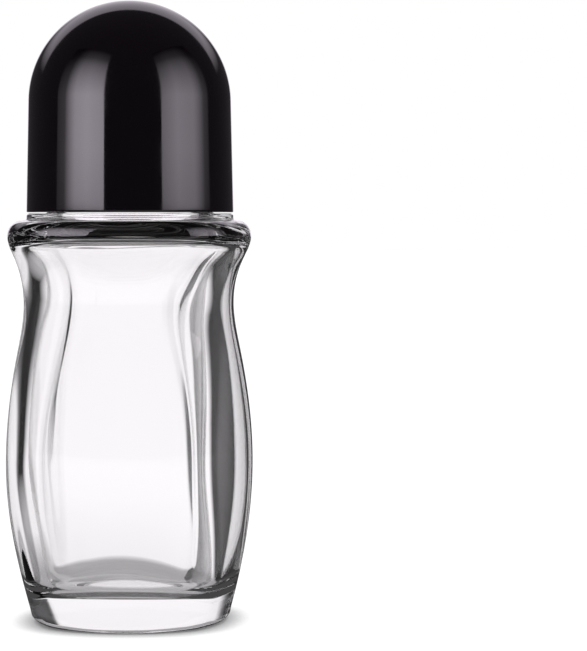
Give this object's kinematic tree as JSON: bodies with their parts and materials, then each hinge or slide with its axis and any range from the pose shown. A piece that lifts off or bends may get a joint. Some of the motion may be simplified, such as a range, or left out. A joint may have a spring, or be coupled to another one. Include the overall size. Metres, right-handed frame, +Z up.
{
  "type": "roll on bottle",
  "caption": "Clear glass roll-on bottle with a square hourglass body, a pressed-in ball housing, a roller ball and a black domed cap that lifts off.",
  "frame": {"origin": "middle of the foot, on the surface that the bottle stands on", "axes": "+Z up along the bottle's axis to the top of the cap, -Y the front that the picture shows, +X to the viewer's right"},
  "size_m": [0.0412, 0.0412, 0.105],
  "materials": {
    "clear_glass": "clear flint glass, fire polished",
    "housing_plastic": "natural polyethylene, moulded",
    "ball_plastic": "white polypropylene, ground and polished",
    "cap_gloss": "black, mirror gloss moulding",
    "liner_plastic": "black polypropylene, satin moulding"
  },
  "bodies": {
    "bottle": {"glass_bottle": "clear_glass", "ball_housing": "housing_plastic"},
    "ball": {"roller_ball": "ball_plastic"},
    "cap": {"cap_shell": "cap_gloss", "cap_liner": "liner_plastic"}
  },
  "joints": [
    {"name": "ball_roll", "type": "hinge", "parent": "bottle", "child": "ball", "pos_m": [0, 0, 0.08506], "axis": [1, 0, 0], "continuous": true},
    {"name": "cap_lift", "type": "slide", "parent": "bottle", "child": "cap", "axis": [0, 0, 1], "range_m": [0, 0.04]}
  ]
}
